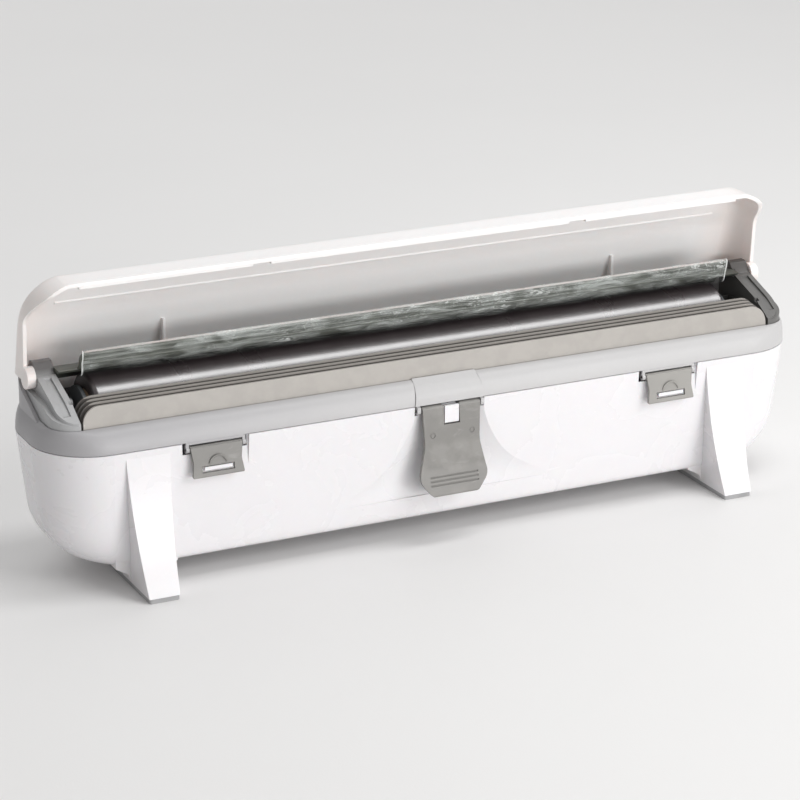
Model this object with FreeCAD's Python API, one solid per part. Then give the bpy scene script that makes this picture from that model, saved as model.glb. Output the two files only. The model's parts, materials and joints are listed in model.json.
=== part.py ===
"""Bench-top cling film dispenser, shown with its lid open.

Frame: +X along the length, +Y to the rear, +Z up, millimetres. The origin is on the surface that
the feet stand on, below the middle of the tub. Each named sub-part is written to parts/NODE.step.
"""
import FreeCAD, Part
import math
import os

Vector = FreeCAD.Vector

# Driving dimensions ------------------------------------------------------------------------------
HALF_LENGTH = 267.0        # tub at the seam under the rim
HALF_DEPTH = 50.5
CORNER_R = 40.0
WALL = 2.5                 # moulded wall of the tub, the rim and the lid
BELLY_Z = 12.5             # underside of the tub
BELLY_HALF_X = 262.5
BELLY_HALF_Y = 42.0
BELLY_END_R = 36.0         # bulge of the tub's ends in the front view
BELLY_EDGE_R = 6.0
SEAM_Z = 92.0              # the rim sits on the tub here
SHADOW_GAP = 0.5           # open line between tub and rim
RIM_TOP_Z = 107.0
RIM_OPEN_X = 260.0
RIM_OPEN_Y = 40.0
FOOT_HALF_Y = 72.0
PAD_HEIGHT = 3.0
HINGE_Y = 10.0             # lid hinge axis, along X
HINGE_Z = 128.0
HINGE_PIN_R = 3.0
LID_HALF_X = 262.0
LID_FRONT_Y = -54.0
LID_EDGE_R = 14.0
ROLL_Y = 5.0               # axis of the film roll
ROLL_Z = 101.0
ROLL_R = 26.0
CORE_R = 16.0
FILM_HALF_X = 225.0        # the standard 450 mm refill
ARM_IN_X = 243.6           # inner face of each end arm
LATCH_Y = -50.1            # hinge axis of the front latch
LATCH_Z = 89.2
CLIP_Y = -49.4             # hinge axis of the two side clips
CLIP_Z = 87.6
CLIP_X = (143.5, 178.0)
PIN_GAP = 0.05             # radial clearance of every running pin

DRAFT = (HALF_DEPTH - BELLY_HALF_Y) / (SEAM_Z - BELLY_Z)
SECTIONS_OF_RECESS = [     # height, half width and depth of the finger hollow behind the latch
    (94, 24, 6.0), (80, 26, 6.5), (68, 31, 6.5), (52, 42, 6.0), (40, 58, 4.0), (29, 78, 0.8)]


# Outlines and solids -----------------------------------------------------------------------------
def rounded(corners, place):
    """Closed wire through corners (u, v, radius), laid out in space by place."""
    spans = []
    for i, (u, v, radius) in enumerate(corners):
        corner = Vector(u, v, 0)
        if not radius:
            spans.append((corner, None, corner))
            continue
        before = (Vector(*corners[i - 1][:2], 0) - corner).normalize()
        after = (Vector(*corners[(i + 1) % len(corners)][:2], 0) - corner).normalize()
        half = before.getAngle(after) / 2
        bisector = (before + after).normalize()
        reach = radius / math.tan(half)
        middle = corner + bisector * (radius / math.sin(half) - radius)
        spans.append((corner + before * reach, middle, corner + after * reach))
    edges = []
    for i, (start, middle, end) in enumerate(spans):
        if middle:
            edges.append(Part.Arc(place(start), place(middle), place(end)).toShape())
        following = spans[(i + 1) % len(spans)][0]
        if (following - end).Length > 1e-6:
            edges.append(Part.makeLine(place(end), place(following)))
    return Part.Wire(edges)


def wire_at_z(corners, z):
    return rounded(corners, lambda p: Vector(p.x, p.y, z))


def extrude_x(corners, x0, x1):
    """Solid of an outline (y, z, radius) between two X planes."""
    wire = rounded(corners, lambda p: Vector(x0, p.x, p.y))
    return Part.Face(wire).extrude(Vector(x1 - x0, 0, 0))


def extrude_y(corners, y0, y1):
    """Solid of an outline (x, z, radius) between two Y planes."""
    wire = rounded(corners, lambda p: Vector(p.x, y0, p.y))
    return Part.Face(wire).extrude(Vector(0, y1 - y0, 0))


def extrude_z(corners, z0, z1):
    """Solid of an outline (x, y, radius) between two Z planes."""
    return Part.Face(wire_at_z(corners, z0)).extrude(Vector(0, 0, z1 - z0))


def plan(half_x, half_y, radius):
    """Corners of a rounded rectangle about the origin."""
    return [(-half_x, -half_y, radius), (half_x, -half_y, radius),
            (half_x, half_y, radius), (-half_x, half_y, radius)]


def box(x, y, z):
    return Part.makeBox(x[1] - x[0], y[1] - y[0], z[1] - z[0], Vector(x[0], y[0], z[0]))


def rod_x(y, z, radius, x0, x1):
    return Part.makeCylinder(radius, x1 - x0, Vector(x0, y, z), Vector(1, 0, 0))


def rod_z(x, y, radius, z0, z1):
    return Part.makeCylinder(radius, z1 - z0, Vector(x, y, z0), Vector(0, 0, 1))


def mirrored(shape):
    """The same shape at the other end of the dispenser."""
    return shape.mirror(Vector(0, 0, 0), Vector(1, 0, 0))


def both_ends(shape):
    return [shape, mirrored(shape)]


def front_y(z):
    """The tub's drafted front wall at a height."""
    return -HALF_DEPTH + (SEAM_Z - z) * DRAFT


def hinge_arc_point(radius, degrees):
    """(y, z) on a circle about the lid hinge, from the rear horizontal upwards."""
    angle = math.radians(degrees)
    return HINGE_Y + radius * math.cos(angle), HINGE_Z + radius * math.sin(angle)


def creases(shape, keep):
    """Edges of a shape where two faces meet at an angle, among those that keep accepts."""
    found = []
    for edge in shape.Edges:
        middle = edge.valueAt((edge.FirstParameter + edge.LastParameter) / 2)
        normals = []
        for face in shape.ancestorsOfType(edge, Part.Face):
            normals.append(face.normalAt(*face.Surface.parameter(middle)))
        if keep(middle) and len(normals) == 2 and normals[0].getAngle(normals[1]) > math.radians(12):
            found.append(edge)
    return found


def export(name, shape):
    shape.exportStep("parts/" + name + ".step")
    if not shape.isValid():
        print(name, "is not valid")
    print(f"{name:18s} solids {len(shape.Solids)}  volume {shape.Volume / 1000:8.2f} cm3")


# Tub and feet ------------------------------------------------------------------------------------
def tub_form(inset, top_z):
    """The tub's drafted form with bulging ends and a soft lower edge, pulled in by inset."""
    lean = math.atan((HALF_LENGTH - BELLY_HALF_X) / (SEAM_Z - BELLY_Z))
    end_r, edge_r = BELLY_END_R - inset, BELLY_EDGE_R - inset
    profile = [(top_z, HALF_LENGTH - (SEAM_Z - top_z) * math.tan(lean) - inset, 0)]
    for share in range(8):
        angle = lean + (math.pi / 2 - lean) * share / 7
        height = end_r * (1 - math.sin(angle))
        tuck = edge_r - math.sqrt(edge_r ** 2 - max(edge_r - height, 0) ** 2)
        profile.append((BELLY_Z + inset + height, BELLY_HALF_X - BELLY_END_R + end_r * math.cos(angle), tuck))
    wires = []
    for z, half_x, tuck in profile:
        corner_r = CORNER_R - (SEAM_Z - z) * 0.075 - inset - tuck
        wires.append(wire_at_z(plan(half_x, -front_y(z) - inset - tuck, corner_r), z))
    walls = Part.makeLoft(wires[:2], True, True)
    return walls.fuse(Part.makeLoft(wires[1:], True, False))


def recess_form(grow):
    """Trumpet-shaped finger hollow in the tub's front wall."""
    wires = []
    for z, half_width, depth in SECTIONS_OF_RECESS:
        wall = front_y(z)
        left, right = Vector(-half_width - grow, wall, z), Vector(half_width + grow, wall, z)
        hollow = Part.Arc(left, Vector(0, wall + depth + grow, z), right).toShape()
        front_right, front_left = Vector(right.x, -75, z), Vector(left.x, -75, z)
        wires.append(Part.Wire([hollow, Part.makeLine(right, front_right),
                                Part.makeLine(front_right, front_left), Part.makeLine(front_left, left)]))
    return Part.makeLoft(wires, True, False)


def leg():
    """Moulded cross foot under the right-hand end, flaring to the front and to the rear."""
    front_low, front_high = Vector(0, -FOOT_HALF_Y, PAD_HEIGHT), Vector(0, front_y(88) + 0.05, 88)
    rear_low, rear_high = Vector(0, FOOT_HALF_Y, PAD_HEIGHT), Vector(0, -front_y(88) - 0.05, 88)
    front = Part.Arc(front_high, Vector(0, -56.8, 44), front_low).toShape()
    rear = Part.Arc(rear_low, Vector(0, 56.8, 44), rear_high).toShape()
    side = Part.Wire([front, Part.makeLine(front_low, rear_low), rear, Part.makeLine(rear_high, front_high)])
    flared = Part.Face(side).extrude(Vector(300, 0, 0))
    tapered = extrude_y([(194.7, PAD_HEIGHT, 0), (215.0, PAD_HEIGHT, 0), (219.5, 90, 0), (190, 90, 0)], -80, 80)
    web = extrude_y([(194.7, PAD_HEIGHT, 0), (215.0, PAD_HEIGHT, 0), (216.5, 8.5, 5), (225, 13.5, 0),
                     (225, 22, 0), (184, 22, 0), (184, 13, 0), (193.2, 8, 5)], -41, 41)
    return flared.common(tapered).fuse(web)


def base_tub():
    outer = tub_form(0, SEAM_Z)
    cavity = tub_form(WALL, SEAM_Z + 1)
    backing = recess_form(WALL).common(outer)
    tub = outer.fuse(both_ends(leg())).cut(cavity).fuse(backing)
    cuts = [recess_form(0), box((-24.6, 24.6), (-60, -40), (85.9, SEAM_Z + 1))]
    clip_recess = extrude_y([(138.5, 66, 3), (183, 66, 3), (183, 95, 0), (138.5, 95, 0)], -60, -48.4)
    clip_notch = box((139.5, 182), (-60, -46), (84.2, SEAM_Z + 1))
    for shape in both_ends(clip_recess) + both_ends(clip_notch):
        cuts.append(shape)
    tub = tub.cut(cuts)
    centre_lug = box((-5.0, 5.0), (-53.4, -41.2), (79.6, 91)).cut(box((-6, 6), (-51.7, -48.5), (87.5, 92)))
    clip_lug = box((151.5, 170), (-54.6, -46.5), (74.2, 76.4))
    return tub.fuse([centre_lug] + both_ends(clip_lug)).removeSplitter()


def foot_pad():
    pad = extrude_z([(194.9, -FOOT_HALF_Y + 0.2, 2), (214.8, -FOOT_HALF_Y + 0.2, 2),
                     (214.8, FOOT_HALF_Y - 0.2, 2), (194.9, FOOT_HALF_Y - 0.2, 2)], 0, PAD_HEIGHT)
    return pad


# Rim ---------------------------------------------------------------------------------------------
def rim_plan(x_inset, front_inset, front_r, rear_inset=0.0):
    rear_r = CORNER_R - max(x_inset, rear_inset)
    half_x, rear_y = HALF_LENGTH - x_inset, HALF_DEPTH - rear_inset
    return [(-half_x, -HALF_DEPTH + front_inset, front_r), (half_x, -HALF_DEPTH + front_inset, front_r),
            (half_x, rear_y, rear_r), (-half_x, rear_y, rear_r)]


def rim_form(inset):
    """The rim's convex ring as a solid, pulled in by inset."""
    wires = []
    for degrees in (0, 20, 38, 54, 68, 80):
        rise = math.sin(math.radians(degrees)) / math.sin(math.radians(80))
        lean = (1 - math.cos(math.radians(degrees))) / (1 - math.cos(math.radians(80)))
        height = (RIM_TOP_Z - inset - SEAM_Z) * rise
        outline = rim_plan(6.5 * lean + inset, 10 * lean + inset, 40 - 23 * lean - inset, inset)
        wires.append(wire_at_z(outline, SEAM_Z + height))
    return Part.makeLoft(wires, True, False)


def bridge_form(gap):
    """Proud saddle over the middle of the rim's front, above the latch."""
    outline = [(-51.1 - gap, SEAM_Z + 0.5 - 4 * gap, 0), (-50.4 - gap, 98.5, 8), (-46.3, 104 + gap, 8),
               (-40.3 + 2 * gap, 107.9 + gap, 0), (-40.3 + 2 * gap, 105.6 - gap, 0), (-45.2, 102.5 - gap, 7),
               (-48.8 + gap, 97.6, 7), (-49.1 + gap, SEAM_Z + 0.5 - 4 * gap, 0)]
    wedge = extrude_y([(-24.9 - gap, 91, 0), (24.9 + gap, 91, 0), (22.1 + gap, 109, 0), (-22.1 - gap, 109, 0)],
                      -55, -38)
    return extrude_x(outline, -30, 30).common(wedge)


def cowl_side(radius, wall_y):
    """Side outline that runs up the rear wall and forwards over the lid hinge."""
    start, middle, end = (hinge_arc_point(radius, angle) for angle in (0, 35, 70))
    edges = [Part.makeLine(Vector(0, -60, 98), Vector(0, wall_y, 98)),
             Part.makeLine(Vector(0, wall_y, 98), Vector(0, *start)),
             Part.Arc(Vector(0, *start), Vector(0, *middle), Vector(0, *end)).toShape(),
             Part.makeLine(Vector(0, *end), Vector(0, -60, end[1])),
             Part.makeLine(Vector(0, -60, end[1]), Vector(0, -60, 98))]
    return Part.Face(Part.Wire(edges)).extrude(Vector(600, 0, 0)).translated(Vector(-300, 0, 0))


def cowl():
    """Rear wall of the rim, curling forwards behind the open lid, with low shoulders at its ends."""
    outer_plan = [(-262.5, -50, 0), (262.5, -50, 0), (262.5, HALF_DEPTH, 36), (-262.5, HALF_DEPTH, 36)]
    inner_plan = [(-260, -51, 0), (260, -51, 0), (260, HALF_DEPTH - WALL, 33.5), (-260, HALF_DEPTH - WALL, 33.5)]
    outer = extrude_z(outer_plan, 98, 170).common(cowl_side(40.5, HALF_DEPTH))
    inner = extrude_z(inner_plan, 97, 171).common(cowl_side(38.0, HALF_DEPTH - WALL))
    shoulder = extrude_x([(-12, 100, 0), (-12, RIM_TOP_Z - 0.4, 0), (12, 117.5, 10), (26, 124, 8), (60, 124, 0),
                          (60, 100, 0)], -270, 270)
    tip_y, tip_z = hinge_arc_point(38.0, 52)
    crest = extrude_x([(24, 100, 0), (24, tip_z, 0), (tip_y, tip_z, 0), (tip_y + 8, tip_z + 10, 0),
                       (60, 170, 0), (60, 100, 0)], -270, 270)
    crest = crest.common(extrude_y([(-236, 99, 0), (236, 99, 0), (236, 160.5, 14), (-236, 160.5, 14)], 0, 80))
    return outer.cut(inner).common(shoulder.fuse(crest))


def rim_frame():
    opening_plan = [(-RIM_OPEN_X, -RIM_OPEN_Y, 16.5), (RIM_OPEN_X, -RIM_OPEN_Y, 16.5),
                    (RIM_OPEN_X, HALF_DEPTH - WALL, 33.5), (-RIM_OPEN_X, HALF_DEPTH - WALL, 33.5)]
    inner_wall = [(x + math.copysign(WALL, x), y + math.copysign(WALL, y), r + WALL) for x, y, r in opening_plan]
    channel = rim_form(WALL).cut(extrude_z(inner_wall, 80, 120)).common(box((-300, 300), (-60, 0), (80, 120)))
    ring = rim_form(0).cut([extrude_z(opening_plan, 80, 120), channel])
    lip = extrude_z(plan(263.9, 47.2, 38), 87, 93.2).fuse(extrude_z(plan(265.5, 49, 38.5), SEAM_Z + 0.1, 93.2))
    lip = lip.cut(extrude_z(plan(261.9, 45.2, 36), 86, 94))
    lip = lip.cut([box((-48, 48), (-60, 0), (80, 95))] + both_ends(box((135, 187), (-60, 0), (80, 95))))
    ledge = box((246, 263), (-20, 36), (96, 98.8)).common(extrude_z(plan(261.5, 49, 35), 90, 100))
    screw_holes = [rod_z(251, y, 1.7, 90, 100) for y in (-12, 30)]
    ledge = ledge.cut(screw_holes + [box((240, 249.3), (-7.3, 17.3), (90, 100))])
    shadow_gap = extrude_z(plan(280, 60, 45), SEAM_Z - 1, SEAM_Z + SHADOW_GAP)
    shadow_gap = shadow_gap.cut(extrude_z(plan(266.0, 49.5, 39), SEAM_Z - 2, SEAM_Z + 2))
    rim = ring.fuse([cowl(), lip] + both_ends(ledge)).cut([bridge_form(0.15), shadow_gap])
    ears = both_ends(box((CLIP_X[0] - 0.4, CLIP_X[1] + 0.4), (-50.4, -49.0), (90.8, 92.6)))
    for x0 in (CLIP_X[0] - 2.5, CLIP_X[1] + 0.4):
        ear = box((x0, x0 + 2.1), (-50.4, -48.2), (CLIP_Z, 92.6)).fuse(rod_x(CLIP_Y, CLIP_Z, 2.0, x0, x0 + 2.1))
        ears += both_ends(ear.cut(rod_x(CLIP_Y, CLIP_Z, 1.0, x0 - 1, x0 + 4)))
    return rim.fuse(ears).removeSplitter()


def rim_bridge():
    """The saddle, with the two ears that carry the latch pin."""
    ears = []
    for x0 in (21.3, -23.7):
        ear = box((x0, x0 + 2.4), (-52.3, -48.9), (LATCH_Z, 91.9))
        ear = ear.fuse([rod_x(LATCH_Y, LATCH_Z, 2.3, x0, x0 + 2.4), box((x0, x0 + 2.4), (-50.7, -49.4), (91.5, 94))])
        ears.append(ear.cut(rod_x(LATCH_Y, LATCH_Z, 1.25, x0 - 1, x0 + 4)))
    return bridge_form(0).fuse(ears).removeSplitter()


# Latch and clips ---------------------------------------------------------------------------------
def front_latch():
    side = [(-52.8, 91.3, 1.6), (-54.6, 66, 30), (-56.2, 50, 20), (-60.6, 33, 1), (-58.2, 32.3, 1),
            (-53.9, 50, 18), (-52.3, 66, 30), (-50.6, 91.3, 0)]
    front = [(-20.5, 92, 0), (-19.2, 66, 30), (-24.4, 43, 9), (-15.5, 32.3, 6),
             (15.5, 32.3, 6), (24.4, 43, 9), (19.2, 66, 30), (20.5, 92, 0)]
    plate = extrude_x(side, -30, 30).common(extrude_y(front, -70, -45))
    knuckles = [rod_x(LATCH_Y, LATCH_Z, 2.5, x0, x0 + 13.6) for x0 in (6.4, -20.0)]
    latch = plate.fuse(knuckles)
    cuts = [box((-5.6, 5.6), (-70, -40), (78.6, 95)), rod_x(LATCH_Y, LATCH_Z, 1.25 + PIN_GAP, -30, 30)]
    for z in (45.2, 42.6, 40.0):
        outer_y = -57.2 - (46 - z) * 0.26
        cuts.append(box((-17, 17), (outer_y - 3, outer_y + 0.45), (z - 0.55, z + 0.55)))
    for x in (-13.9, 13.9):
        ring = Part.makeCylinder(1.9, 1.0, Vector(x, -54.9, 72.5), Vector(0, 1, 0))
        cuts.append(ring.cut(Part.makeCylinder(1.2, 1.0, Vector(x, -54.9, 72.5), Vector(0, 1, 0))))
    return latch.cut(cuts).removeSplitter()


def side_clip():
    x0, x1 = CLIP_X
    middle = (x0 + x1) / 2
    side = [(-51.6, 89.4, 0.6), (-55.4, 70, 0.8), (-53.5, 69.7, 0.8), (-49.9, 88.5, 0)]
    front = [(x0, 89.5, 1), (x0 + 1.4, 79, 12), (x0, 69.6, 1.5), (x1, 69.6, 1.5), (x1 - 1.4, 79, 12), (x1, 89.5, 1)]
    plate = extrude_x(side, x0 - 2, x1 + 2).common(extrude_y(front, -60, -45))
    clip = plate.fuse(rod_x(CLIP_Y, CLIP_Z, 2.1, x0, x1))
    cuts = [box((150, 171.5), (-60, -45), (72.8, 76.9)), rod_x(CLIP_Y, CLIP_Z, 1.0 + PIN_GAP, x0 - 1, x1 + 1)]
    arch = Part.makeCylinder(6.2, 0.9, Vector(middle, -54.3, 77.4), Vector(0, 1, 0))
    arch = arch.cut([Part.makeCylinder(5.2, 0.9, Vector(middle, -54.3, 77.4), Vector(0, 1, 0)),
                     box((x0, x1), (-60, -45), (70, 78))])
    return clip.cut(cuts).fuse(arch).removeSplitter()


# End arms, pins and fasteners --------------------------------------------------------------------
def end_arm():
    """Right-hand arm: hinge boss, sloping plate, curved shoe and the cradle for the roll."""
    shoe_plan = extrude_z([(-259.7, -39.7, 16.2), (259.7, -39.7, 16.2), (259.7, 47.5, 33), (-259.7, 47.5, 33)], 80, 150)
    plate_plan = extrude_z([(-256, -39.7, 14), (256, -39.7, 14), (256, 47.5, 29), (-256, 47.5, 29)], 80, 150)
    slope = [(-41, 99, 0), (-41, 110, 0), (-23.5, 120.2, 30), (5.5, 130, 2), (11, HINGE_Z + 8.8, 3),
             (17.5, HINGE_Z + 8.8, 3), (24, 124, 6), (24, 99, 0)]
    plate = extrude_x(slope, ARM_IN_X, 256).common(plate_plan)
    shoe = extrude_x([(-41, 99, 0), (-41, 109.5, 0), (-16, 117.6, 30), (8, 119.4, 10), (24, 119, 3), (24, 99, 0)],
                     ARM_IN_X, 260).common(shoe_plan)
    foot = box((ARM_IN_X, 262), (18, 36), (99, 103)).common(extrude_z(plan(257, 47, 33), 80, 150))
    cradle = extrude_x([(-7, 88, 3), (17, 88, 3), (13, 114, 3), (-3, 114, 3)], 235.6, ARM_IN_X + 0.5)
    slot = box((234, 242.2), (ROLL_Y - 4.15, ROLL_Y + 4.15), (ROLL_Z, 120))
    slot = slot.fuse(rod_x(ROLL_Y, ROLL_Z, 4.15, 234, 242.2))
    tab = box((ARM_IN_X, 252), (-39.7, -23.5), (84, 100)).common(extrude_z(plan(259.7, 41.5, 32), 80, 120))
    root = box((ARM_IN_X, 249), (-7, 17), (88, 100))
    arm = plate.fuse([shoe, foot, cradle, tab, root])
    cuts = [slot, rod_x(HINGE_Y, HINGE_Z, HINGE_PIN_R, 247, 262), rod_x(-31.6, 88.0, 1.5, 240, 250)]
    cuts += [rod_z(251, y, 1.5, 98, 106) for y in (-12, 30)]
    cuts += [box((ARM_IN_X - 1, ARM_IN_X + 2), (y - 1.5, y + 1.5), (z, z + 6)) for y, z in ((6.5, 128), (-23.5, 118))]
    cuts.append(box((247.5, 252.5), (-33, 2), (114.5, 135)).common(extrude_x(
        [(-33, 113.6, 0), (-23.5, 118.9, 30), (3, 127.8, 0), (3, 135, 0), (-33, 135, 0)], 240, 260)))
    return arm.cut(cuts).removeSplitter()


def lid_pin():
    """Right-hand hinge pin, pressed into the arm and closed in by the lid's cheek."""
    return rod_x(HINGE_Y, HINGE_Z, HINGE_PIN_R, 247, 260.9)


def arm_screws():
    """Screws up through the rim's ledges, and into the ends of the blade holder."""
    screws = []
    for y in (-12, 30):
        screws.append(rod_z(251, y, 1.5, 96, 105).fuse(rod_z(251, y, 2.9, 94, 96)))
    screws.append(rod_x(-31.6, 88.0, 1.5, 237, 250))
    return Part.makeCompound([piece for screw in screws for piece in both_ends(screw)])


# Cutter ------------------------------------------------------------------------------------------
BLADE_Y = -30.1
HOLDER_TOP_Z = 92.0
POST_Y = -34.7
POST_X = (80.0, 205.0)


def film_guard():
    """Four fins on a common bar, guided by posts; it sinks to bare the blade."""
    guard = box((-242, 242), (-38.9, -22.6), (100, 104)).cut(box((-230, 230), (-31.3, -28.9), (99, 105)))
    pieces = []
    for y, top in ((-23.2, 122.4), (-27.8, 121.7), (-32.4, 121.1)):
        fin = extrude_y([(-242, 103, 0), (-242, top, 11), (242, top, 11), (242, 103, 0)], y - 0.6, y + 0.6)
        pieces.append(fin)
    front = extrude_x([(-39.2, 100, 0), (-39.2, 107, 3), (-37.7, 120.4, 0), (-36.4, 120.4, 0), (-37.9, 107, 3),
                       (-37.9, 100, 0)], -242, 242)
    pieces.append(front.common(extrude_y([(-242, 99, 0), (-242, 120.4, 11), (242, 120.4, 11), (242, 99, 0)],
                                         -45, -30)))
    for x in POST_X:
        post = rod_z(x, POST_Y, 2.0, 88.2, 101).fuse(rod_z(x, POST_Y, 2.7, 88.2, 89.7))
        pieces += both_ends(post)
    return guard.fuse(pieces).removeSplitter()


def guard_springs():
    """Coil springs round the posts, drawn as sleeves."""
    springs = []
    for x in POST_X:
        spring = rod_z(x, POST_Y, 3.2, HOLDER_TOP_Z, 99.9).cut(rod_z(x, POST_Y, 2.4, 90, 101))
        springs += both_ends(spring)
    return Part.makeCompound(springs)


def blade():
    """Serrated cutting strip."""
    pitch, root, tip, half = 3.0, 115.6, 118.0, 228.0
    points = [Vector(half, BLADE_Y - 0.4, 85.6), Vector(-half, BLADE_Y - 0.4, 85.6)]
    for i in range(int(2 * half / pitch)):
        points.append(Vector(-half + i * pitch, BLADE_Y - 0.4, root))
        points.append(Vector(-half + (i + 0.5) * pitch, BLADE_Y - 0.4, tip))
    points.append(Vector(half, BLADE_Y - 0.4, root))
    return Part.Face(Part.makePolygon(points + points[:1])).extrude(Vector(0, 0.8, 0))


def blade_holder():
    """Channel across the frame that grips the blade and seats the springs."""
    half = ARM_IN_X - 0.3
    channel = box((-half, half), (-39.5, -23.5), (84, HOLDER_TOP_Z))
    hollow = box((-half + 8, half - 8), (-38.1, -24.9), (83, 90))
    grip = box((-230, 230), (BLADE_Y - 1.6, BLADE_Y + 1.6), (85, 90.5))
    channel = channel.cut(hollow).fuse(grip)
    cuts = [box((-228.2, 228.2), (BLADE_Y - 0.45, BLADE_Y + 0.45), (85.5, 93))]
    for x in POST_X:
        cuts += both_ends(rod_z(x, POST_Y, 2.3, 83, 93))
        cuts += both_ends(rod_z(x, POST_Y, 3.1, 83, 90))
    cuts += both_ends(rod_x(-31.6, 88.0, 1.5, 236.5, 250))
    return channel.cut(cuts).removeSplitter()


# Film path ---------------------------------------------------------------------------------------
def rear_guide():
    """Ridged strip that the film is pulled over, curling back above the roll."""
    def about_roll(radius, degrees):
        angle = math.radians(degrees)
        return Vector(0, ROLL_Y + radius * math.cos(angle), ROLL_Z + radius * math.sin(angle))

    top_front, top_rear = Vector(0, -7.6, 145.4), Vector(0, -5.6, 145.4)
    low_front, low_rear = Vector(0, -4.6, 134.6), Vector(0, -2.4, 135.4)
    inner = Part.Arc(about_roll(30, 98), about_roll(30, 66), about_roll(30, 34)).toShape()
    outer = Part.Arc(about_roll(32, 34), about_roll(32, 66), about_roll(32, 98)).toShape()
    edges = [Part.makeLine(top_front, low_front), Part.makeLine(low_front, about_roll(30, 98)), inner,
             Part.makeLine(about_roll(30, 34), about_roll(32, 34)), outer,
             Part.makeLine(about_roll(32, 98), low_rear), Part.makeLine(low_rear, top_rear),
             Part.makeLine(top_rear, top_front)]
    half = ARM_IN_X - 0.2
    strip = Part.Face(Part.Wire(edges)).extrude(Vector(2 * half, 0, 0)).translated(Vector(-half, 0, 0))
    ends = extrude_y([(-231, 133, 0), (-231, 145.4, 5), (231, 145.4, 5), (231, 133, 0), (half, 133, 0), (half, 110, 0),
                      (-half, 110, 0), (-half, 133, 0)], -20, 60)
    strip = strip.common(ends)
    ridges = []
    for share in (0.22, 0.5, 0.78):
        centre = top_front + (low_front - top_front) * share
        ridges.append(rod_x(centre.y, centre.z, 0.8, -229, 229))
    return strip.fuse(ridges).removeSplitter()


def roll_tube(outer, inner, half):
    return rod_x(ROLL_Y, ROLL_Z, outer, -half, half).cut(rod_x(ROLL_Y, ROLL_Z, inner, -half - 1, half + 1))


def core_bung():
    """Right-hand end plug of the roll with its stub axle."""
    plug = rod_x(ROLL_Y, ROLL_Z, CORE_R - 1.85, 212, 228)
    return plug.fuse([rod_x(ROLL_Y, ROLL_Z, 18.5, 227.8, 230.2), rod_x(ROLL_Y, ROLL_Z, 4.05, 230, 241.6)])


def film_web():
    """The length of film from the top of the roll up and over the front of the guide strip."""
    return extrude_x([(-5.6, 146.1, 0), (-8.3, 146.1, 0), (-8.9, 145.0, 0), (-5.9, 134.2, 0), (-5.3, 131.2, 0),
                      (-2.6, 128.4, 0), (1.0, 127.4, 0), (1.0, 127.75, 0), (-2.4, 128.75, 0), (-4.95, 131.4, 0),
                      (-5.5, 134.4, 0), (-8.5, 145.1, 0), (-8.2, 145.75, 0), (-5.6, 145.75, 0)], -230, 230)


# Lid ---------------------------------------------------------------------------------------------
def lid_form(inset):
    """The closed lid's outer form, pulled in by inset and open below."""
    i = inset
    side = [(-52.7 + i, 80, 0), (LID_FRONT_Y + 0.4 + i, 132.5 - 0.3 * i, 16 - i), (-24 + 0.3 * i, 148.5 - i, 28),
            (12.5, 157.8 - i, 40), (34, 160.6 - i, 0), (34, 80, 0)]
    outline = [(-LID_HALF_X + i, 60, 0), (-LID_HALF_X + i, LID_FRONT_Y + i, 30 - i),
               (LID_HALF_X - i, LID_FRONT_Y + i, 30 - i), (LID_HALF_X - i, 60, 0)]
    form = extrude_x(side, -280, 280).common(extrude_z(outline, 79, 170))
    return form.makeFillet(LID_EDGE_R - i, creases(form, lambda p: p.z > 85 and p.y < 30))


def hinge_sweep(radius):
    """Room about the hinge that the rim's rear corners leave free."""
    middle = rod_x(HINGE_Y, HINGE_Z, radius, -227, 227)
    return middle.fuse([Part.makeSphere(radius, Vector(x, HINGE_Y, HINGE_Z)) for x in (-227, 227)])


def lid():
    """Moulded in its closed place, then turned back about its hinge to stand open."""
    shell = lid_form(0).cut(lid_form(WALL))
    below = extrude_x([(-70, 105, 0), (-46.5, 105, 8), (-28, 126.5, 12), (12, 129.5, 10), (70, 130.5, 0),
                       (70, 70, 0), (-70, 70, 0)], -280, 280)
    rear = box((-280, 280), (12.5, 60), (70, 170))
    rear = rear.cut(hinge_sweep(36.2).common(box((-257.5, 257.5), (-60, 60), (70, 170))))
    shell = shell.cut([below, rear])
    inside = lid_form(WALL - 0.3)
    details = [rod_x(-31, 142.4, 1.1, -236, 236)]
    for x0, x1 in ((-232, -117.8), (-105.5, 105.5), (117.8, 232)):
        details.append(box((x0, x1), (-52, -48.9), (106, 109.5)))
    for x in (-162, 162):
        details.append(box((x - 0.8, x + 0.8), (-9, 8), (147.2, 156)))
    shell = shell.fuse([piece.common(inside) for piece in details])
    lobe = rod_x(HINGE_Y, HINGE_Z, 7.0, 256.4, LID_HALF_X)
    lobe = lobe.fuse(box((LID_HALF_X - WALL, LID_HALF_X), (3.0, 12.5), (HINGE_Z, 134)))
    shell = shell.fuse(both_ends(lobe))
    shell = shell.cut(both_ends(rod_x(HINGE_Y, HINGE_Z, HINGE_PIN_R + PIN_GAP, 256, 261.2)))
    shell = shell.removeSplitter()
    shell.rotate(Vector(0, HINGE_Y, HINGE_Z), Vector(1, 0, 0), -90)
    return shell


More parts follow.
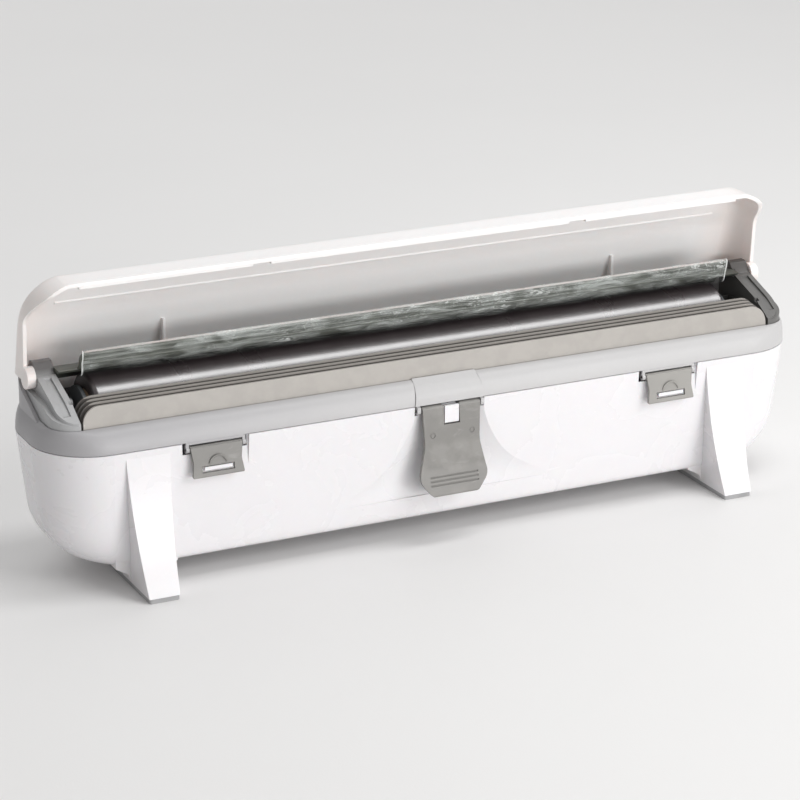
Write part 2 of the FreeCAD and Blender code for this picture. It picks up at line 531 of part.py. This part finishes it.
# Write every sub-part ----------------------------------------------------------------------------
os.makedirs("parts", exist_ok=True)
export("base_tub", base_tub())
export("rim_frame", rim_frame())
export("rim_bridge", rim_bridge())
export("front_latch", front_latch())
export("latch_pin", rod_x(LATCH_Y, LATCH_Z, 1.25, -23.7, 23.7))
for name, place in (("right", lambda shape: shape), ("left", mirrored)):
    export("foot_pad_" + name, place(foot_pad()))
    export("side_clip_" + name, place(side_clip()))
    export("clip_pin_" + name, place(rod_x(CLIP_Y, CLIP_Z, 1.0, CLIP_X[0] - 2.5, CLIP_X[1] + 2.5)))
    export("end_arm_" + name, place(end_arm()))
    export("lid_pin_" + name, place(lid_pin()))
    export("core_bung_" + name, place(core_bung()))
export("arm_screws", arm_screws())
export("film_guard", film_guard())
export("guard_springs", guard_springs())
export("blade", blade())
export("blade_holder", blade_holder())
export("rear_guide", rear_guide())
export("film_core", roll_tube(CORE_R, CORE_R - 1.8, FILM_HALF_X + 2.5))
export("film_roll", roll_tube(ROLL_R, CORE_R, FILM_HALF_X))
export("film_web", film_web())
export("lid", lid())
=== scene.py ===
"""Looks of the cling film dispenser: camera, studio, materials, crinkled film, wound roll and springs."""

import json
import math

import bpy
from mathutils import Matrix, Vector, noise


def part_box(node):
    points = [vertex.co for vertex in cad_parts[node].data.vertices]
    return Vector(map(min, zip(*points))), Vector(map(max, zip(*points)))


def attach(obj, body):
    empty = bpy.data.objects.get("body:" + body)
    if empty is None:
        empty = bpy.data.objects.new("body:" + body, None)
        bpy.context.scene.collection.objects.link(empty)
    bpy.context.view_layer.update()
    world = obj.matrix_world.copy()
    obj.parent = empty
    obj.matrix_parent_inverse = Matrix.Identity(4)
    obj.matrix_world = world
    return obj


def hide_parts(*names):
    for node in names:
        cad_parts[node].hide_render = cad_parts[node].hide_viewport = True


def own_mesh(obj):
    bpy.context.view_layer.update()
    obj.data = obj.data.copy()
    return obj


MM = 0.001

# Where the camera stands, and what it looks at.
CAMERA_AT = Vector((-0.8082, -1.6608, 0.7206))
CAMERA_TARGET = Vector((-0.0136, -0.0054, 0.0813))
CAMERA_LENS = 135.0

# The clear film: its flat sizes, and its mesh.
FILM_WIDTH = 0.460
TAIL_NARROWER = 0.008                  # how much narrower than the film its free end is
TAIL_RAGGED = 0.55                     # deepest tear, as a share of the free end's length
FILM_LIFT = 0.45 * MM                  # height of the film's path over the strip and the roll
CREASE_SPAN = 0.024                    # length that the creases are drawn over
FILM_COLUMNS, FILM_ROWS = 560, 44

# The wound roll: its axis, its rounded edge, and its rings of points.
ROLL_Y, ROLL_Z = 0.005, 0.101
ROLL_EDGE_R = 2.6 * MM
FACE_RINGS, EDGE_RINGS = 20, 9
ROLL_AROUND, ROLL_STEPS = 120, 300

# The guard's springs, one on each post on either side of the middle.
POST_X = (80 * MM, 205 * MM)
SPRING_TURNS = 4.5
SPRING_WIRE_R = 0.35 * MM
STEPS_PER_TURN, WIRE_FACETS = 26, 8

FLOOR_HALF = 6.0


# Shader helpers ----------------------------------------------------------------------------------
class Surface:
    """A material round one Principled shader, with the few node groups that every finish needs."""

    def __init__(self, name, color, rough, **sockets):
        self.material = bpy.data.materials.new(name)
        self.material.use_nodes = True
        self.nodes = self.material.node_tree.nodes
        self.links = self.material.node_tree.links
        self.shader = self.nodes["Principled BSDF"]
        self.shader.inputs["Base Color"].default_value = (*color, 1)
        self.shader.inputs["Roughness"].default_value = rough
        for socket, value in sockets.items():
            self.shader.inputs[socket.replace("_", " ")].default_value = value
        self.coords = self.node("ShaderNodeTexCoord").outputs["Object"]
        self.height = None

    def node(self, kind, **settings):
        made = self.nodes.new(kind)
        for key, value in settings.items():
            setattr(made, key, value)
        return made

    def set(self, made, **inputs):
        """Fills a node's sockets, from numbers or from other sockets."""
        for key, value in inputs.items():
            socket = made.inputs[key.replace("_", " ")]
            if isinstance(value, bpy.types.NodeSocket):
                self.links.new(value, socket)
            else:
                socket.default_value = value
        return made

    def math(self, operation, first, second=0.0):
        made = self.node("ShaderNodeMath", operation=operation)
        for socket, value in zip(made.inputs, (first, second)):
            if isinstance(value, bpy.types.NodeSocket):
                self.links.new(value, socket)
            else:
                socket.default_value = value
        return made.outputs[0]

    def stretched(self, scale):
        made = self.node("ShaderNodeMapping")
        return self.set(made, Vector=self.coords, Scale=scale).outputs[0]

    def noise(self, scale, detail=3.0, stretch=(1, 1, 1), distortion=0.0):
        vector = self.coords if stretch == (1, 1, 1) else self.stretched(stretch)
        made = self.node("ShaderNodeTexNoise")
        self.set(made, Vector=vector, Scale=scale, Detail=detail, Distortion=distortion)
        return made.outputs["Fac"]

    def remap(self, value, low, high, to_low=0.0, to_high=1.0):
        made = self.node("ShaderNodeMapRange")
        for key, number in (("From Min", low), ("From Max", high), ("To Min", to_low), ("To Max", to_high)):
            made.inputs[key].default_value = number
        return self.set(made, Value=value).outputs[0]

    def axis(self, name):
        return self.set(self.node("ShaderNodeSeparateXYZ"), Vector=self.coords).outputs[name]

    def tint(self, factor, color):
        """Mixes a colour over what the base colour holds so far."""
        made = self.node("ShaderNodeMix", data_type="RGBA")
        self.links.new(factor, made.inputs[0])
        base = self.shader.inputs["Base Color"]
        if base.is_linked:
            self.links.new(base.links[0].from_socket, made.inputs[6])
        else:
            made.inputs[6].default_value = base.default_value
        made.inputs[7].default_value = (*color, 1)
        self.links.new(made.outputs[2], base)

    def drive(self, socket, value):
        self.links.new(value, self.shader.inputs[socket])

    def bump(self, height, distance, strength=1.0):
        """Adds one layer of relief; the first layer starts from softened edges."""
        made = self.node("ShaderNodeBump")
        self.set(made, Height=height, Distance=distance, Strength=strength)
        if self.height is not None:
            self.links.new(self.height, made.inputs["Normal"])
        self.height = made.outputs[0]
        self.drive("Normal", self.height)

    def soften(self, radius):
        made = self.node("ShaderNodeBevel", samples=4)
        made.inputs["Radius"].default_value = radius
        self.height = made.outputs[0]
        self.drive("Normal", self.height)

    def edges(self):
        """Where the surface turns a sharp outer corner, as a share."""
        return self.remap(self.node("ShaderNodeNewGeometry").outputs["Pointiness"], 0.56, 0.64)


def shade(color, factor):
    return tuple(min(1.0, channel * factor) for channel in color)


def moulded(name, color, rough, grain=0.00003, wear=1.12, mottle=0.95, soften=0.4 * MM, **sockets):
    """Injection moulded plastic: flow mottling, satin grain, rubbed edges and handling smudges."""
    surface = Surface(name, color, rough, **sockets)
    surface.tint(surface.remap(surface.noise(14, 2), 0.2, 0.8), shade(color, mottle))
    surface.tint(surface.remap(surface.noise(420, 2), 0.5, 0.8, 0, 0.5), shade(color, 1.03))
    rubbed = surface.math("MULTIPLY", surface.edges(), surface.remap(surface.noise(90, 3), 0.4, 0.6))
    surface.tint(surface.math("MULTIPLY", rubbed, 0.55), shade(color, wear))
    smudges = surface.remap(surface.noise(24, 5, distortion=0.8), 0.2, 0.8, rough * 0.9, rough * 1.12)
    surface.drive("Roughness", surface.math("ADD", smudges, surface.math("MULTIPLY", rubbed, 0.08)))
    surface.soften(soften)
    surface.bump(surface.noise(1500, 2), grain)
    surface.bump(surface.noise(60, 2), 0.00003)
    return surface


# One finish for each slot of the record ----------------------------------------------------------
def tub_plastic():
    surface = moulded("tub_plastic", (0.77, 0.758, 0.775), 0.27, wear=1.05, mottle=0.995,
                      Coat_Weight=0.25, Coat_Roughness=0.12, Subsurface_Weight=0.06, Subsurface_Scale=0.004)
    low = surface.remap(surface.axis("Z"), 0.03, 0.012)
    surface.tint(surface.math("MULTIPLY", low, surface.remap(surface.noise(45, 4), 0.4, 0.7, 0, 0.35)),
                 (0.76, 0.73, 0.72))
    return surface


def foot_rubber():
    surface = moulded("foot_rubber", (0.36, 0.36, 0.365), 0.72, grain=0.00012, wear=1.3, mottle=0.85)
    surface.bump(surface.noise(700, 4), 0.0002)
    return surface


def rim_plastic():
    surface = moulded("rim_plastic", (0.49, 0.486, 0.488), 0.44, wear=1.04, mottle=0.985,
                      Coat_Weight=0.05, Coat_Roughness=0.25)
    # Painted shade: the rim is made darker towards its left end.
    left_painted_shade = surface.remap(surface.axis("X"), 0.0, -0.26, 0, 0.6)
    surface.tint(left_painted_shade, (0.29, 0.285, 0.305))
    return surface


def latch_plastic():
    surface = moulded("latch_plastic", (0.215, 0.209, 0.198), 0.42, wear=1.4, mottle=0.96, soften=0.3 * MM)
    scuffs = surface.noise(160, 4, stretch=(0.35, 1, 1), distortion=1.5)
    surface.tint(surface.remap(scuffs, 0.62, 0.72, 0, 0.35), (0.32, 0.315, 0.30))
    # Painted light: lighter to the right of x = 0.08 m, which takes in the right clip.
    surface.tint(surface.remap(surface.axis("X"), 0.08, 0.16, 0, 0.7), (0.33, 0.32, 0.30))
    return surface


def arm_plastic():
    surface = moulded("arm_plastic", (0.13, 0.128, 0.124), 0.36, wear=1.9, mottle=0.93, soften=0.35 * MM)
    # Painted light and shade: the left arm is made lighter than the right one.
    surface.tint(surface.remap(surface.axis("X"), 0.1, -0.1), (0.40, 0.405, 0.41))
    boss = surface.remap(surface.axis("Z"), 0.126, 0.133)
    rear = surface.remap(surface.axis("Y"), 0.002, 0.006)
    surface.tint(surface.math("MULTIPLY", surface.math("MULTIPLY", boss, rear), 0.75), (0.05, 0.043, 0.04))
    return surface


def lid_plastic():
    """Milky plastic that lets light through, with painted shade low on the panel and in the corners at its
    ends.
    """
    surface = moulded("lid_plastic", (0.92, 0.895, 0.89), 0.3, wear=1.03, mottle=0.995,
                      Subsurface_Weight=0.35, Subsurface_Scale=0.005, Coat_Weight=0.1, Coat_Roughness=0.25)
    surface.shader.inputs["Subsurface Radius"].default_value = (1.0, 0.78, 0.72)
    # Painted shade: darker and pinker low on the panel.
    surface.tint(surface.remap(surface.axis("Z"), 0.146, 0.120, 0, 0.3), (0.90, 0.79, 0.77))
    # Painted shade in the corners between the ends and the panel.
    corner = surface.remap(surface.math("ABSOLUTE", surface.axis("X")), 0.225, 0.252, 0, 0.35)
    surface.tint(corner, (0.80, 0.69, 0.64))
    return surface


def guard_plastic():
    """Beige fins, with painted shade below their sloping top edges everywhere but at the very front."""
    surface = moulded("guard_plastic", (0.36, 0.34, 0.315), 0.32, wear=1.18, mottle=0.985, soften=0.3 * MM,
                      Coat_Weight=0.3, Coat_Roughness=0.14)
    streaks = surface.noise(60, 4, stretch=(0.08, 1, 1))
    surface.tint(surface.remap(streaks, 0.52, 0.75, 0, 0.4), (0.355, 0.338, 0.315))
    y, z = surface.axis("Y"), surface.axis("Z")
    # Painted shade on the faces of the fins behind the front one, below their top edges.
    under_edge = surface.math("SUBTRACT", z, surface.math("MULTIPLY", y, 0.141))
    behind_front = surface.remap(y, -0.0362, -0.0358)
    inner = surface.math("MULTIPLY", surface.remap(under_edge, 0.12470, 0.12440), behind_front)
    surface.tint(surface.math("MULTIPLY", inner, 0.85), (0.10, 0.09, 0.085))
    return surface


def guide_plastic():
    surface = moulded("guide_plastic", (0.10, 0.108, 0.092), 0.34, wear=1.7, mottle=0.8, soften=0.25 * MM)
    streaks = surface.noise(150, 5, stretch=(0.12, 1, 1), distortion=1.0)
    surface.tint(surface.remap(streaks, 0.52, 0.7, 0, 0.6), (0.045, 0.05, 0.042))
    top = surface.remap(surface.axis("Z"), 0.1444, 0.1452)
    surface.tint(surface.math("MULTIPLY", top, 0.85), (0.78, 0.70, 0.68))
    return surface


def bung_plastic():
    return moulded("bung_plastic", (0.12, 0.13, 0.138), 0.45, wear=1.5, mottle=0.85)


def brushed(name, color, rough, stretch):
    """Drawn or ground metal with fine streaks along one direction."""
    surface = Surface(name, color, rough, Metallic=1.0)
    streaks = surface.noise(900, 3, stretch=stretch)
    surface.tint(surface.remap(streaks, 0.35, 0.65), shade(color, 0.78))
    surface.tint(surface.remap(surface.noise(35, 4), 0.55, 0.75, 0, 0.4), shade(color, 0.6))
    surface.drive("Roughness", surface.remap(streaks, 0.3, 0.7, rough * 0.7, rough * 1.35))
    surface.bump(streaks, 0.00003)
    return surface


def pin_steel():
    return brushed("pin_steel", (0.62, 0.63, 0.65), 0.24, (1, 0.05, 0.05))


def blade_steel():
    surface = brushed("blade_steel", (0.60, 0.61, 0.62), 0.22, (0.04, 1, 1))
    surface.tint(surface.remap(surface.axis("Z"), 0.1150, 0.1158), (0.85, 0.86, 0.88))
    return surface


def holder_aluminium():
    return brushed("holder_aluminium", (0.70, 0.71, 0.72), 0.38, (0.03, 1, 1))


def core_card():
    """Grey-brown board wound in a spiral, so its joint runs round the tube."""
    surface = Surface("core_card", (0.42, 0.31, 0.21), 0.85)
    turn = surface.math("ARCTAN2", surface.math("SUBTRACT", surface.axis("Z"), ROLL_Z),
                        surface.math("SUBTRACT", surface.axis("Y"), ROLL_Y))
    seam = surface.math("ADD", surface.math("MULTIPLY", surface.axis("X"), 1 / 0.07),
                        surface.math("MULTIPLY", turn, 1 / math.tau))
    seam = surface.math("FRACT", seam)
    surface.tint(surface.remap(seam, 0.985, 0.995), (0.20, 0.14, 0.09))
    fibres = surface.noise(900, 6, stretch=(0.3, 1, 1))
    surface.tint(surface.remap(fibres, 0.4, 0.7, 0, 0.6), (0.52, 0.40, 0.28))
    surface.bump(fibres, 0.0001)
    return surface


def film_wound():
    """Tightly wound film: glossy and almost black, with faint winding bands and rings on its ends."""
    surface = Surface("film_wound", (0.040, 0.030, 0.033), 0.3, Specular_IOR_Level=0.7,
                      Coat_Weight=1.0, Coat_Roughness=0.24, Coat_IOR=2.0)
    bands = surface.noise(140, 3, stretch=(1, 0.01, 0.01))
    surface.tint(surface.remap(bands, 0.45, 0.75, 0, 0.5), (0.055, 0.043, 0.046))
    y = surface.math("SUBTRACT", surface.axis("Y"), ROLL_Y)
    z = surface.math("SUBTRACT", surface.axis("Z"), ROLL_Z)
    squares = surface.math("ADD", surface.math("POWER", y, 2), surface.math("POWER", z, 2))
    radius = surface.math("SQRT", squares)
    rings = surface.node("ShaderNodeTexNoise", noise_dimensions="1D")
    rings.inputs["W"].default_value = 0
    surface.links.new(surface.math("MULTIPLY", radius, 2600), rings.inputs["W"])
    rings.inputs["Scale"].default_value = 1.0
    ends = surface.remap(surface.math("ABSOLUTE", surface.axis("X")), 0.2243, 0.2248)
    marked = surface.math("MULTIPLY", ends, surface.remap(rings.outputs["Fac"], 0.35, 0.7))
    surface.tint(marked, (0.16, 0.13, 0.13))
    smears = surface.noise(40, 4, stretch=(1, 0.2, 0.2))
    surface.drive("Roughness", surface.remap(smears, 0.3, 0.7, 0.24, 0.38))
    surface.bump(surface.noise(300, 3, stretch=(0.25, 1, 1)), 0.00001)
    surface.bump(surface.math("MULTIPLY", ends, rings.outputs["Fac"]), 0.0002)
    return surface


def film_clear():
    """Thin clear film, with painted highlights along its creases and its side edges."""
    surface = Surface("film_clear", (0.80, 0.85, 0.82), 0.12, IOR=1.45, Specular_IOR_Level=0.8)
    long_creases = surface.noise(210, 5, stretch=(0.22, 1, 1), distortion=1.8)
    fine_creases = surface.noise(420, 4, stretch=(0.5, 1, 1), distortion=2.4)
    ridge = surface.math("ABSOLUTE", surface.math("SUBTRACT", long_creases, 0.5))
    fine = surface.math("ABSOLUTE", surface.math("SUBTRACT", fine_creases, 0.5))
    lines = surface.remap(ridge, 0.022, 0.0, 0, 1)
    thin_lines = surface.remap(fine, 0.012, 0.0, 0, 0.6)
    patches = surface.remap(surface.noise(38, 3, stretch=(0.6, 1, 1)), 0.42, 0.62)
    # Painted highlights along the creases, fainter where the film leaves the strip.
    painted_highlight = surface.math("MULTIPLY", surface.math("MAXIMUM", lines, thin_lines), patches)
    clung = surface.remap(surface.axis("Z"), 0.131, 0.135)
    painted_highlight = surface.math("MULTIPLY", painted_highlight, surface.remap(clung, 0, 1, 0.35, 1))
    cloud = surface.noise(120, 4, stretch=(0.3, 1, 1), distortion=1.2)
    cloud = surface.remap(cloud, 0.42, 0.66, 0.03, 0.36)
    haze = surface.math("MULTIPLY", cloud, surface.remap(clung, 0, 1, 0.15, 1))
    # Painted highlight along the film's side edges.
    edge = surface.remap(surface.math("ABSOLUTE", surface.axis("X")), 0.2286, 0.2296, 0, 0.9)
    painted_highlight = surface.math("MAXIMUM", painted_highlight, edge)
    surface.tint(painted_highlight, (0.95, 0.97, 0.95))
    surface.drive("Alpha", surface.math("MAXIMUM", haze, surface.math("MULTIPLY", painted_highlight, 0.9)))
    surface.bump(long_creases, 0.0012)
    surface.bump(fine_creases, 0.0004)
    return surface


FINISHES = (tub_plastic, foot_rubber, rim_plastic, latch_plastic, pin_steel, arm_plastic, lid_plastic,
            guard_plastic, blade_steel, holder_aluminium, guide_plastic, core_card, film_wound, bung_plastic,
            film_clear)


def finish_nodes(frame):
    """Gives each CAD node its slot's finish, and returns the finishes by slot."""
    made = {finish.__name__: finish().material for finish in FINISHES}
    for part in frame["record"]["subparts"]:
        mesh = frame["nodes"][part["node"]].data
        mesh.materials.clear()
        mesh.materials.append(made[part["material_slot"]])
    return made


# Pieces ------------------------------------------------------------------------------------------
def add_mesh(name, points, faces, material, smooth=True):
    mesh = bpy.data.meshes.new(name)
    mesh.from_pydata([tuple(point) for point in points], [], faces)
    mesh.materials.append(material)
    mesh.polygons.foreach_set("use_smooth", [smooth] * len(mesh.polygons))
    mesh.update()
    piece = bpy.data.objects.new(name, mesh)
    bpy.context.scene.collection.objects.link(piece)
    return piece


def grid_faces(rows, columns, closed=False):
    """Quads between rows of points; closed joins each row's last point to its first."""
    faces = []
    for row in range(rows - 1):
        for column in range(columns if closed else columns - 1):
            after = (column + 1) % columns
            faces.append((row * columns + column, row * columns + after,
                          (row + 1) * columns + after, (row + 1) * columns + column))
    return faces


def path_points(corners, count):
    """Evenly spaced (y, z) points along a smooth curve through the corners."""
    def blend(i, t):
        a, b, c, d = (Vector(corners[max(0, min(len(corners) - 1, i + k))]) for k in (-1, 0, 1, 2))
        return 0.5 * (2 * b + (c - a) * t + (2 * a - 5 * b + 4 * c - d) * t ** 2
                      + (3 * b - a - 3 * c + d) * t ** 3)

    fine = [blend(i, k / 24) for i in range(len(corners) - 1) for k in range(24)] + [Vector(corners[-1])]
    lengths = [0.0]
    for before, after in zip(fine, fine[1:]):
        lengths.append(lengths[-1] + (after - before).length)
    points, k = [], 0
    for i in range(count):
        wanted = lengths[-1] * i / (count - 1)
        while k < len(fine) - 2 and lengths[k + 1] < wanted:
            k += 1
        share = (wanted - lengths[k]) / max(lengths[k + 1] - lengths[k], 1e-9)
        points.append(fine[k].lerp(fine[k + 1], share))
    return points


def crumple(x, along, seed):
    """Height of a crinkled film over its smooth surface, from 0 to about 1, with long sharp creases."""
    ridge = 1 - abs(noise.noise(Vector((x * 28, along * 110, seed)))) * 2.2
    small = 1 - abs(noise.noise(Vector((x * 90, along * 260, seed + 7)))) * 2.2
    swell = 0.5 + 0.5 * noise.noise(Vector((x * 11, along * 30, seed + 3)))
    return max(0.0, 0.55 * swell + 0.33 * max(ridge, 0) * swell + 0.16 * max(small, 0))


def film_ribbon(name, corners, half_width, height, material, seed, ragged=0.0):
    """A crinkled film that follows a path in the Y-Z plane; ragged shortens it unevenly at its far end."""
    columns, rows = FILM_COLUMNS, FILM_ROWS
    path = path_points(corners, rows)
    points = []
    for row in range(rows):
        before, after = path[max(row - 1, 0)], path[min(row + 1, rows - 1)]
        along = (after - before).normalized()
        outward = Vector((-along.y, along.x))
        share = row / (rows - 1)
        for column in range(columns):
            x = -half_width + 2 * half_width * column / (columns - 1)
            reach = share
            if ragged:
                cut = 0.5 + 0.5 * noise.noise(Vector((x * 17, 0, seed + 20)))
                cut += 0.22 * noise.noise(Vector((x * 70, 0, seed + 30)))
                reach = share * (1 - ragged * max(0.0, min(1.0, cut)))
            place = reach * (rows - 1)
            low = min(int(place), rows - 2)
            base = path[low].lerp(path[low + 1], place - low)
            lift = height(base.y) * crumple(x, share * CREASE_SPAN, seed)
            spot = base + outward * lift
            sway = 0.0006 * noise.noise(Vector((0, base.y * 200, seed + column // (FILM_COLUMNS // 2))))
            points.append((x + sway, spot.x, spot.y))
    return add_mesh(name, points, grid_faces(rows, columns), material)


def film_pieces(made):
    """The clear film on the guide: the length from the roll, and the free end folded over the strip."""
    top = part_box("rear_guide")[1].z + FILM_LIFT
    roll_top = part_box("film_roll")[1].z + FILM_LIFT
    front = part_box("film_web")[0].y + 0.55 * MM
    web_path = [(0.0010, roll_top), (-0.0026, roll_top + 0.0013), (-0.0051, roll_top + 0.0041),
                (front + 0.0026, roll_top + 0.0075), (front + 0.0009, top - 0.0048),
                (front + 0.0003, top - 0.0011), (front + 0.0016, top), (-0.0056, top)]

    def web_height(z):
        return 0.12 * MM + 0.55 * MM * max(0.0, min(1.0, (z - 0.131) / 0.004)) * (z < top - 0.0004)

    web = film_ribbon("film_length", web_path[::-1], FILM_WIDTH / 2, web_height, made["film_clear"], 2)
    tail_path = [(-0.0058, top + 0.0002), (front + 0.0010, top + 0.0002), (front - 0.0001, top - 0.0016),
                 (front + 0.0006, top - 0.0050), (front + 0.0016, top - 0.0092)]
    tail = film_ribbon("film_free_end", tail_path, FILM_WIDTH / 2 - TAIL_NARROWER / 2,
                       lambda z: 0.5 * MM * (z < top), made["film_clear"], 11, ragged=TAIL_RAGGED)
    for piece in (web, tail):
        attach(piece, "root")
    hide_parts("film_web")


def wound_roll(made):
    """The film on its core, with rounded edges and slightly uneven winding."""
    low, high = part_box("film_roll")
    axis = (low + high) / 2
    outer, half = (high.z - low.z) / 2, (high.x - low.x) / 2
    inner = (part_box("film_core")[1].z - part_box("film_core")[0].z) / 2 + 0.05 * MM
    profile = []
    for i in range(FACE_RINGS):
        profile.append((-half + 0.25 * MM * (i % 2), inner + (outer - ROLL_EDGE_R - inner) * i / FACE_RINGS))
    for i in range(EDGE_RINGS):
        angle = math.pi / 2 * i / (EDGE_RINGS - 1)
        inset, drop = ROLL_EDGE_R * (1 - math.sin(angle)), ROLL_EDGE_R * (1 - math.cos(angle))
        profile.append((-half + inset, outer - drop))
    profile[-EDGE_RINGS:] = sorted(profile[-EDGE_RINGS:])
    for i in range(1, ROLL_STEPS):
        x = (-half + ROLL_EDGE_R) + 2 * (half - ROLL_EDGE_R) * i / ROLL_STEPS
        sink = 0.02 * MM * (0.5 + 0.5 * noise.noise(Vector((x * 60, 0, 4))))
        profile.append((x, outer - sink))
    profile += [(-x, radius) for x, radius in reversed(profile[:FACE_RINGS + EDGE_RINGS])]
    around, points = ROLL_AROUND, []
    for x, radius in profile:
        for k in range(around):
            angle = math.tau * k / around
            points.append((axis.x + x, axis.y + radius * math.cos(angle), axis.z + radius * math.sin(angle)))
    faces = grid_faces(len(profile), around, closed=True)
    last = (len(profile) - 1) * around
    for k in range(around):
        after = (k + 1) % around
        faces.append((last + k, last + after, after, k))
    piece = add_mesh("wound_film", points, faces, made["film_wound"])
    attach(piece, "roll")
    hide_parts("film_roll")


def helix_tube(centre, radius, wire, low, high, turns):
    """Points and faces of a coil spring with closed ends."""
    steps, around = int(turns * STEPS_PER_TURN), WIRE_FACETS
    points = []
    for i in range(steps + 1):
        share = i / steps
        angle = math.tau * turns * share
        rise = low + wire + (high - low - 2 * wire) * share
        out = Vector((math.cos(angle), math.sin(angle), 0))
        middle = Vector((centre.x, centre.y, rise)) + out * (radius - wire)
        for k in range(around):
            turn = math.tau * k / around
            points.append(middle + out * (wire * math.cos(turn)) + Vector((0, 0, wire * math.sin(turn))))
    faces = grid_faces(steps + 1, around, closed=True)
    faces.append(tuple(range(around)))
    faces.append(tuple(range(steps * around + around - 1, steps * around - 1, -1)))
    return points, faces


def coil_springs(made):
    """The four springs under the guard."""
    low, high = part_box("guard_springs")
    radius = (high.y - low.y) / 2
    points, faces = [], []
    for x in (-POST_X[1], -POST_X[0], *POST_X):
        centre = Vector((x, (low.y + high.y) / 2, 0))
        new_points, new_faces = helix_tube(centre, radius, SPRING_WIRE_R, low.z, high.z, SPRING_TURNS)
        faces += [tuple(corner + len(points) for corner in face) for face in new_faces]
        points += new_points
    piece = add_mesh("guard_coils", points, faces, made["pin_steel"])
    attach(piece, "root")
    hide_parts("guard_springs")
    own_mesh(piece)


# Studio ------------------------------------------------------------------------------------------
def aim(thing, target):
    thing.rotation_euler = (Vector(target) - thing.location).to_track_quat("-Z", "Y").to_euler()


def area_light(name, place, target, size, power, color=(1, 1, 1)):
    light = bpy.data.lights.new(name, "AREA")
    light.shape = "RECTANGLE"
    light.size, light.size_y = size
    light.energy = power
    light.color = color
    thing = bpy.data.objects.new(name, light)
    thing.location = place
    bpy.context.scene.collection.objects.link(thing)
    aim(thing, target)


def studio():
    world = bpy.data.worlds.new("studio")
    bpy.context.scene.world = world
    world.use_nodes = True
    background = world.node_tree.nodes["Background"]
    background.inputs["Color"].default_value = (1.0, 0.99, 0.985, 1)
    background.inputs["Strength"].default_value = 0.36
    area_light("key", (1.1, -1.7, 1.3), target=(0, 0, 0.10), size=(1.2, 1.0), power=19.5)
    area_light("overhead", (0.66, -0.22, 1.5), target=(0.66, -0.22, 0), size=(1.3, 0.42), power=9.5)
    area_light("backdrop", (0.4, 2.4, 2.0), target=(0.4, 2.2, 0), size=(6.0, 3.6), power=50)
    area_light("low_front", (0.5, -2.3, 0.35), target=(0, 0, 0.12), size=(2.0, 0.5), power=23,
               color=(1.0, 0.985, 0.975))
    # The factory view transform greys the white plastics.
    bpy.context.scene.view_settings.view_transform = "Standard"

    surface = Surface("floor", (0.80, 0.797, 0.793), 0.6)
    surface.tint(surface.remap(surface.noise(3, 4), 0.4, 0.7, 0, 0.5), (0.78, 0.777, 0.773))
    surface.bump(surface.noise(600, 3), 0.00005)
    points = [(x, y, 0) for y in (-FLOOR_HALF, FLOOR_HALF) for x in (-FLOOR_HALF, FLOOR_HALF)]
    add_mesh("studio_floor", points, grid_faces(2, 2), surface.material, smooth=False)


def camera():
    lens = bpy.data.cameras.new("camera")
    lens.lens = CAMERA_LENS
    lens.clip_start = 0.05
    thing = bpy.data.objects.new("camera", lens)
    thing.location = CAMERA_AT
    bpy.context.scene.collection.objects.link(thing)
    aim(thing, CAMERA_TARGET)
    bpy.context.scene.camera = thing


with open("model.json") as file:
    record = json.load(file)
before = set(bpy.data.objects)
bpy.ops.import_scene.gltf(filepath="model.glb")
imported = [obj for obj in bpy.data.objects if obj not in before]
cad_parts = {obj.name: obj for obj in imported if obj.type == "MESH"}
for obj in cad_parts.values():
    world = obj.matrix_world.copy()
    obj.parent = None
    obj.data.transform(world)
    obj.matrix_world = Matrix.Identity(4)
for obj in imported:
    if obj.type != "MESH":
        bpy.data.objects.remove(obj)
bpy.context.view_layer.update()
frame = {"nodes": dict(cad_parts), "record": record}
camera()
studio()
made = finish_nodes(frame)
film_pieces(made)
wound_roll(made)
coil_springs(made)
